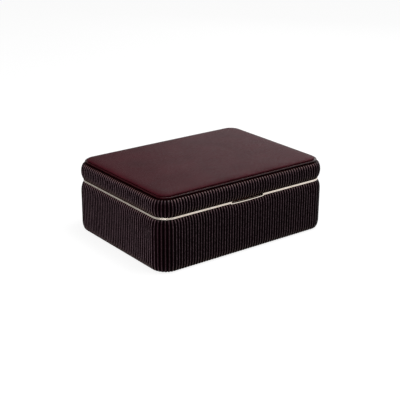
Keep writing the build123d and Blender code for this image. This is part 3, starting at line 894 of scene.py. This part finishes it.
def make_lip():
    """Leather-wrapped board on its recessed plinth, with a rounded lip that is less glazed on its sides."""
    low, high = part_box("lid_pad_board")
    edge = HALF_X - high.x
    plinth = [
        outline(edge + CAP_INSET, low.z, CAP_RADIUS),
        outline(PLINTH_INSET, low.z),
        outline(PLINTH_INSET, high.z - 2 * LIP_BEAD),
    ]
    lip = []
    for step in range(ROUND_STEPS + 1):
        turn = math.pi * (step / ROUND_STEPS - 0.5)
        inset = edge + LIP_BEAD * (1 - math.cos(turn))
        lip.append(outline(inset, high.z - LIP_BEAD + LIP_BEAD * math.sin(turn)))
    lip += [outline(edge + LIP_SHELF, high.z), outline(edge + CAP_INSET, high.z, CAP_RADIUS)]
    mesh = bmesh.new()
    glaze = mesh.verts.layers.float.new("glaze")
    rows = add_loops(mesh, plinth + lip, joined=False)
    for row in rows[len(plinth):]:
        for vert in row:
            aside = (abs(vert.co.x) - HALF_X + CORNER_RADIUS) / (CORNER_RADIUS - edge)
            vert[glaze] = 1 - LIP_SIDE_FADE * min(1, max(0, aside))
    dress(finish_mesh("lip_leather", mesh), "lid_pad_board")


def pad_height(x, y, inset, side_top):
    """Top of the pad: a rolled edge, and a crown that is fullest in the middle."""
    share = max(0.0, 1 - inset / PAD_ROLL_WIDTH)
    roll = PAD_ROLL_HEIGHT * math.sqrt(max(0.0, 1 - share * share))
    fall_x = 1 - abs(x / HALF_X) ** PAD_FULLNESS
    fall_y = 1 - abs(y / HALF_Y) ** PAD_FULLNESS
    rumple = RUMPLE_HEIGHT * noise.noise((x * RUMPLE_SCALE, y * RUMPLE_SCALE, RUMPLE_NOISE))
    rumple *= min(1.0, inset / RUMPLE_START)
    return side_top + roll + PAD_CROWN * max(0.0, fall_x * fall_y) + rumple


def make_pad():
    """Crowned cushion of smooth leather over the foam."""
    low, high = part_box("lid_pad_leather")
    edge = HALF_X - high.x
    side_top = high.z - PAD_CROWN - PAD_ROLL_HEIGHT
    radius = CORNER_RADIUS - edge
    loops = [outline(edge + CAP_INSET, low.z, PAD_LEAST_RADIUS, PAD_CELL)]
    for inset, rise in PAD_LOWER_EDGE:
        loops.append(outline(edge + inset, low.z + rise, radius, PAD_CELL))
    insets = [inset for inset, _ in rounding(PAD_ROLL_WIDTH, 90, ROUND_STEPS)]
    insets += [PAD_ROLL_WIDTH + PAD_RING_STEP * ring for ring in range(1, PAD_RING_COUNT + 1)]
    for inset in insets:
        ring_radius = max(radius - inset * PAD_CORNER_FALL, PAD_LEAST_RADIUS)
        flat = outline(edge + inset, 0, ring_radius, PAD_CELL)
        loops.append([(x, y, pad_height(x, y, inset, side_top)) for x, y, _ in flat])
    pad = looped_piece("pad_leather_top", loops, "lid_pad_leather", "lid_pad_foam", sharp=80)


# Hinges

def add_round_bar(mesh, radius, x_low, x_high):
    """Bar along X on the hinge axis, with softened ends."""
    loops = []
    for x, shrink in soft_ends(x_low, x_high, BAR_BEVEL):
        ring = circle(HINGE_AXIS.y, HINGE_AXIS.z, radius - shrink, BAR_SIDES)
        loops.append([(x, y, z) for y, z in ring])
    add_loops(mesh, loops, joined=False)


def knuckle_spans(centre, in_base):
    """Stretches of the hinge axis that one leaf's knuckles take."""
    if not in_base:
        return [(centre - KNUCKLE_HALF, centre + KNUCKLE_HALF)]
    reach = KNUCKLE_HALF + KNUCKLE_END_GAP
    return [(centre - HINGE_HALF, centre - reach), (centre + reach, centre + HINGE_HALF)]


def make_hinge(node, name, in_base):
    """Leaf plates with their knuckles."""
    low = RIM_HIGH.z - LEAF_THICKNESS if in_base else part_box("lid_rim")[0].z
    high = low + LEAF_THICKNESS
    edge = HINGE_AXIS.y - KNUCKLE_RADIUS - KNUCKLE_GAP
    mesh = bmesh.new()
    for centre in (-HINGE_SPREAD, HINGE_SPREAD):
        leaf_low = (centre - HINGE_HALF, HALF_Y - LEAF_REACH, low)
        bevelled_box(mesh, leaf_low, (centre + HINGE_HALF, edge, high), LEAF_BEVEL)
        for x_low, x_high in knuckle_spans(centre, in_base):
            neck_low = (x_low, edge - LEAF_LAP, low)
            bevelled_box(mesh, neck_low, (x_high, HINGE_AXIS.y, high), NECK_BEVEL)
            add_round_bar(mesh, KNUCKLE_RADIUS, x_low, x_high)
    dress(finish_mesh(name, mesh), node)


def make_pins():
    mesh = bmesh.new()
    half = HINGE_HALF + PIN_OVERHANG
    for centre in (-HINGE_SPREAD, HINGE_SPREAD):
        add_round_bar(mesh, PIN_RADIUS, centre - half, centre + half)
    dress(finish_mesh("hinge_pin_rods", mesh), "hinge_pins")


def make_screws(node, name, in_base):
    """Countersunk heads with softened rims, on their shanks."""
    face = RIM_HIGH.z if in_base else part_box("lid_rim")[0].z
    way = -1 if in_base else 1
    mesh = bmesh.new()
    for centre in (-HINGE_SPREAD, HINGE_SPREAD):
        for side in (-SCREW_SPREAD, SCREW_SPREAD):
            loops = []
            for depth, radius in SCREW_PROFILE:
                z = face + way * depth * MM
                ring = circle(centre + side, HALF_Y - SCREW_INSET, radius * MM, SCREW_SIDES)
                loops.append([(x, y, z) for x, y in ring])
            add_loops(mesh, loops, joined=False)
    dress(finish_mesh(name, mesh), node)


# Inside

def lining(node, name, thickness, free_end):
    """Suede folded over the boards round an inside wall, with its free end up (1) or down (-1)."""
    low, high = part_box(node)
    outer = HALF_X - high.x
    fixed, free = (low.z, high.z) if free_end > 0 else (high.z, low.z)
    loops = [
        outline(outer + thickness, fixed, LINING_INNER_RADIUS),
        outline(outer, fixed, LINING_OUTER_RADIUS),
    ]
    for fold, drop in rounding(thickness / 2, 180, SOFT_STEPS):
        loops.append(outline(outer + fold, free - free_end * drop, LINING_OUTER_RADIUS - fold))
    looped_piece(name, loops, node, joined=True)


def flat_pad(node, name, plump, free_side):
    """Thin suede-covered board, fuller in the middle of its free side, up (1) or down (-1)."""
    low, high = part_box(node)
    edge = HALF_X - high.x
    free, fixed = (high.z, low.z) if free_side > 0 else (low.z, high.z)
    loops = [
        outline(edge + CAP_INSET, fixed, CAP_RADIUS, BOARD_CELL),
        outline(edge + BOARD_UNDERCUT, fixed, BOARD_CORNER, BOARD_CELL),
    ]
    for fold, drop in rounding(BOARD_ROUNDING, 90, SOFT_STEPS):
        height = free - free_side * (plump + drop)
        loops.append(outline(edge + fold, height, BOARD_CORNER, BOARD_CELL))
    for inset in BOARD_RINGS:
        share = 1 - inset / BOARD_RINGS[-1]
        height = free - free_side * plump * share * share
        loops.append(outline(edge + BOARD_ROUNDING + inset, height, BOARD_RING_RADIUS, BOARD_CELL))
    pad = looped_piece(name, loops, node)


def boards(node, name, blocks):
    """Suede-covered boards with rounded edges."""
    mesh = bmesh.new()
    for low, high in blocks:
        bevelled_box(mesh, low, high, BOARD_BEVEL)
    dress(finish_mesh(name, mesh), node)


def cross_walls(node, name, count):
    """Walls from front to back, evenly spaced over the node's width."""
    low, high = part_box(node)
    spacing = (high.x - low.x - DIVIDER) / (count - 1)
    starts = [low.x + number * spacing for number in range(count)]
    boards(node, name, [((x, low.y, low.z), (x + DIVIDER, high.y, high.z)) for x in starts])


def make_underside_felt():
    low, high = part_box("base_underside_felt")
    inset = HALF_X - high.x
    radius = CORNER_RADIUS - inset
    loops = [
        outline(inset + FELT_LOWER_EDGE, low.z, radius - FELT_LOWER_EDGE),
        outline(inset, low.z + FELT_LOWER_EDGE, radius),
        outline(inset, high.z - FELT_UPPER_EDGE, radius),
        outline(inset + FELT_UPPER_EDGE, high.z, radius),
    ]
    felt_sheet = looped_piece("underside_felt_sheet", loops, "base_underside_felt")


def make_base_inside():
    lining("base_lining", "base_lining_suede", LINING_THICKNESS, free_end=1)
    lining("tray_ledge", "tray_ledge_suede", LEDGE_THICKNESS, free_end=1)
    flat_pad("base_floor_pad", "floor_pad_suede", plump=0.2 * MM, free_side=1)
    cross_walls("low_dividers", "low_divider_suede", 2)
    make_underside_felt()


def make_lid_inside():
    lining("lid_lining", "lid_lining_suede", LINING_THICKNESS, free_end=-1)
    flat_pad("lid_ceiling_pad", "ceiling_pad_suede", plump=0.1 * MM, free_side=-1)
    make_mirror_frame()
    make_mirror_glass()


def make_mirror_frame():
    """Leather-covered frame with a rounded face, and a rebate for the glass behind."""
    low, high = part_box("mirror_frame")
    section = [(0, high.z)]
    section += [(fold, low.z + rise) for fold, rise in rounding(FRAME_ROUNDING, 90, ROUND_STEPS)[:-1]]
    edge_inset, edge_rise = FRAME_INNER_EDGE
    section += [
        (FRAME_FACE_START, low.z),
        (FRAME_WIDTH - FRAME_FACE_END, low.z),
        (FRAME_WIDTH - edge_inset, low.z + edge_rise),
        (FRAME_WIDTH, low.z + FRAME_BACK),
        (FRAME_WIDTH - FRAME_REBATE, low.z + FRAME_BACK),
        (FRAME_WIDTH - FRAME_REBATE, high.z),
    ]
    loops = []
    for inset, z in section:
        half_x, half_y = high.x - inset, high.y - inset
        corners = ((half_x, -half_y), (half_x, half_y), (-half_x, half_y), (-half_x, -half_y))
        loops.append([(*corner, z) for corner in corners])
    looped_piece("mirror_frame_leather", loops, "mirror_frame", joined=True)


def make_mirror_glass():
    low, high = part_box("mirror_glass")
    mesh = bmesh.new()
    bevelled_box(mesh, tuple(low), tuple(high), GLASS_BEVEL, segments=2)
    dress(finish_mesh("mirror_glass_plate", mesh), "mirror_glass")


# Tray

def make_tray_box():
    """Open tray with a rolled rim and a cove round its floor."""
    low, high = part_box("tray_box")
    edge = HALF_X - high.x
    radius = CORNER_RADIUS - edge
    loops = [
        outline(edge + CAP_INSET, low.z, CAP_RADIUS),
        outline(edge + TRAY_FOOT, low.z, radius - TRAY_FOOT),
        outline(edge + TRAY_FOOT_MIDDLE, low.z + TRAY_FOOT_MIDDLE, radius),
        outline(edge, low.z + TRAY_FOOT, radius),
    ]
    for fold, drop in rounding(TRAY_WALL / 2, 180, ROUND_STEPS):
        loops.append(outline(edge + fold, high.z - drop, radius - fold))
    inner = edge + TRAY_WALL
    inner_radius = radius - TRAY_WALL
    floor = low.z + TRAY_FLOOR
    loops += [
        outline(inner, floor + TRAY_COVE, inner_radius),
        outline(inner + TRAY_COVE_MIDDLE, floor + TRAY_COVE_MIDDLE, inner_radius),
        outline(inner + TRAY_COVE, floor, inner_radius),
        outline(inner + CAP_INSET, floor, CAP_RADIUS),
    ]
    looped_piece("tray_suede_box", loops, "tray_box")


def make_tray():
    make_tray_box()
    low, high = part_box("tray_long_divider")
    boards("tray_long_divider", "tray_long_divider_suede", [(tuple(low), tuple(high))])
    cross_walls("tray_rear_dividers", "tray_rear_divider_suede", 3)
    cross_walls("tray_front_dividers", "tray_front_divider_suede", 2)
    make_ring_rolls()
    make_pulls()


def roll_section(x, middle, base, half_width, side, drawn, ripple):
    """Round-topped section across a ring roll."""
    section = []
    for step in range(ROLL_ARC_STEPS + 1):
        turn = math.pi * step / ROLL_ARC_STEPS
        height = (side + half_width * math.sin(turn)) * drawn * ripple
        section.append((x, middle + half_width * drawn * math.cos(turn), base + height))
    section.append((x, middle - half_width * drawn, base))
    section.append((x, middle + half_width * drawn, base))
    return section


def make_ring_rolls():
    """Padded rolls side by side, drawn in a little at their ends."""
    low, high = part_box("ring_rolls")
    length = high.x - low.x
    pitch = (high.y - low.y + ROLL_GAP) / ROLL_COUNT
    half_width = (pitch - ROLL_GAP) / 2
    side = high.z - low.z - half_width
    for number in range(ROLL_COUNT):
        middle = low.y + number * pitch + half_width
        loops = []
        for station in range(ROLL_STATIONS + 1):
            share = station / ROLL_STATIONS
            x = low.x + share * length
            near_end = max(0.0, 1 - min(share, 1 - share) * length / ROLL_END_LENGTH)
            drawn = 1 - ROLL_END_DRAW * near_end ** 2
            place = (x * ROLL_RIPPLE_SCALE, number * ROLL_NOISE_STEP, ROLL_NOISE)
            ripple = min(1.0, 1 + ROLL_RIPPLE * noise.noise(place))
            loops.append(roll_section(x, middle, low.z, half_width, side, drawn, ripple))
        roll = looped_piece(f"ring_roll_{number + 1}", loops, "ring_rolls", sharp=60)


def make_pulls():
    """Round-topped leather tabs."""
    low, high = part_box("tray_pulls")
    half_width = (high.y - low.y) / 2
    middle = (low.y + high.y) / 2
    mesh = bmesh.new()
    for x_low, x_high in ((low.x, low.x + PULL_THICKNESS), (high.x - PULL_THICKNESS, high.x)):
        loops = []
        for x, shrink in soft_ends(x_low, x_high, PULL_SOFTNESS):
            radius = half_width - shrink
            arc = arc_points(middle, high.z - half_width, radius, 0, 180, PULL_ARC_STEPS)
            loop = [(x, y, z) for y, z in arc]
            loop += [(x, middle - radius, low.z + shrink), (x, middle + radius, low.z + shrink)]
            loops.append(loop)
        add_loops(mesh, loops, joined=False)
    dress(finish_mesh("tray_pull_tabs", mesh), "tray_pulls")


# Stage

def sight_rays(tree, path):
    """Rays that show the background as it is: the camera's own, through glass and in a mirror."""
    direct = combine(tree, "MAXIMUM", path.outputs["Is Camera Ray"], path.outputs["Is Transmission Ray"])
    return combine(tree, "MAXIMUM", direct, path.outputs["Is Singular Ray"])


def split_place(tree, kind):
    """X, Y and Z outputs of one kind of texture coordinate."""
    split = tree.nodes.new("ShaderNodeSeparateXYZ")
    tree.links.new(tree.nodes.new("ShaderNodeTexCoord").outputs[kind], split.inputs[0])
    return split.outputs


def make_world():
    """White to the eye. Reflections see a studio, bright on the right and a little dimmer overhead."""
    world = bpy.data.worlds.new("studio")
    bpy.context.scene.world = world
    world.use_nodes = True
    tree = world.node_tree
    background = tree.nodes["Background"]
    background.inputs["Color"].default_value = (1, 1, 1, 1)
    path = tree.nodes.new("ShaderNodeLightPath")
    place = split_place(tree, "Generated")
    across = map_range(tree, place["X"], *STUDIO_ACROSS, smooth=True)
    upward = map_range(tree, place["Z"], *STUDIO_UPWARD, smooth=True)
    studio = combine(tree, "MULTIPLY", across, upward)
    studio = combine(tree, "MULTIPLY", studio, path.outputs["Is Glossy Ray"])
    fill = combine(tree, "MULTIPLY", path.outputs["Is Diffuse Ray"], WORLD_FILL)
    strength = combine(tree, "MAXIMUM", sight_rays(tree, path), combine(tree, "ADD", studio, fill))
    tree.links.new(strength, background.inputs["Strength"])


def make_floor():
    """Pale floor that keeps the shadow and brightens toward the front right in reflections."""
    mesh = bmesh.new()
    under = Matrix.Translation((0, 0, -FLOOR_GAP))
    bmesh.ops.create_grid(mesh, x_segments=1, y_segments=1, size=FLOOR_SIZE, matrix=under)
    floor = finish_mesh("studio_floor", mesh)
    nodes = Nodes("studio_floor")
    nodes.set(Base_Color=(FLOOR_COLOUR, FLOOR_COLOUR, FLOOR_COLOUR, 1), Roughness=FLOOR_ROUGHNESS,
              Specular_IOR_Level=0.0, Emission_Color=(1, 1, 1, 1))
    tree = nodes.tree
    path = tree.nodes.new("ShaderNodeLightPath")
    place = split_place(tree, "Object")
    across = combine(tree, "SUBTRACT", place["X"], place["Y"])
    sweep = map_range(tree, across, *FLOOR_SWEEP, smooth=True)
    sweep = combine(tree, "MULTIPLY", sweep, path.outputs["Is Glossy Ray"])
    glow = combine(tree, "MAXIMUM", combine(tree, "MULTIPLY", sight_rays(tree, path), FLOOR_GLOW), sweep)
    nodes.link(glow, nodes.shader.inputs["Emission Strength"])
    floor.data.materials.append(nodes.material)


def make_lamp(name, place, aim, size, power):
    """Rectangular lamp of a width and a height, turned toward a point."""
    light = bpy.data.lights.new(name, "AREA")
    light.shape = "RECTANGLE"
    light.size, light.size_y = size
    light.energy = power
    lamp = bpy.data.objects.new(name, light)
    bpy.context.scene.collection.objects.link(lamp)
    lamp.location = place
    way = Vector(aim) - Vector(place)
    lamp.rotation_euler = way.to_track_quat("-Z", "Y").to_euler()
    return lamp


def make_lamps():
    """A key from above, a low matt fill on the left, a window seen in gloss alone and a rear sheen."""
    make_lamp("key", place=(0.25, -0.25, 1.35), aim=(0, 0, 0.08), size=(0.65, 0.65), power=10.5)
    fill = make_lamp("fill", place=(-1.4, -0.15, 0.16), aim=(0, 0, 0.05), size=(0.8, 0.28), power=10.0)
    fill.visible_glossy = False
    window = make_lamp("window", place=(-0.98, -0.82, 1.10), aim=(0, 0, 0.1), size=(1.3, 0.6), power=14.0)
    window.visible_diffuse = False
    make_lamp("sheen", place=(1.15, 1.0, 0.60), aim=(0, 0, 0.1), size=(0.9, 0.6), power=1.0)


def make_camera():
    """Camera fitted to the photograph."""
    azimuth, elevation = math.radians(CAMERA_AZIMUTH), math.radians(CAMERA_ELEVATION)
    back = Vector((math.sin(azimuth) * math.cos(elevation),
                   -math.cos(azimuth) * math.cos(elevation), math.sin(elevation)))
    right = Vector((math.cos(azimuth), math.sin(azimuth), 0))
    up = back.cross(right)
    target = right * CAMERA_ASIDE + Vector((0, 0, CAMERA_HEIGHT))
    roll = math.radians(CAMERA_ROLL)
    turned_right = right * math.cos(roll) + up * math.sin(roll)
    turned_up = up * math.cos(roll) - right * math.sin(roll)
    data = bpy.data.cameras.new("camera")
    data.sensor_width = SENSOR
    data.lens = CAMERA_FOCAL_PIXELS / PICTURE_PIXELS * SENSOR
    data.clip_start, data.clip_end = CAMERA_NEAR, CAMERA_FAR
    camera = bpy.data.objects.new("camera", data)
    bpy.context.scene.collection.objects.link(camera)
    place = Matrix((turned_right, turned_up, back)).transposed().to_4x4()
    place.translation = target + back * CAMERA_DISTANCE
    camera.matrix_world = place
    bpy.context.scene.camera = camera


def dress_packed_nodes():
    """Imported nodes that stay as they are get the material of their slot."""
    for name, piece in frame["nodes"].items():
        piece.data.materials.clear()
        piece.data.materials.append(MATERIALS[SLOT_OF[name]])


make_camera()
make_materials()
dress_packed_nodes()
make_pleated_leather()
make_rims()
make_lip()
make_pad()
make_hinge("hinge_base_leaves", "hinge_base_brass", in_base=True)
make_hinge("hinge_lid_leaves", "hinge_lid_brass", in_base=False)
make_pins()
make_screws("hinge_base_screws", "hinge_base_screw_heads", in_base=True)
make_screws("hinge_lid_screws", "hinge_lid_screw_heads", in_base=False)
make_base_inside()
make_lid_inside()
make_tray()
make_world()
make_floor()
make_lamps()
bpy.context.scene.view_settings.view_transform = "Standard"
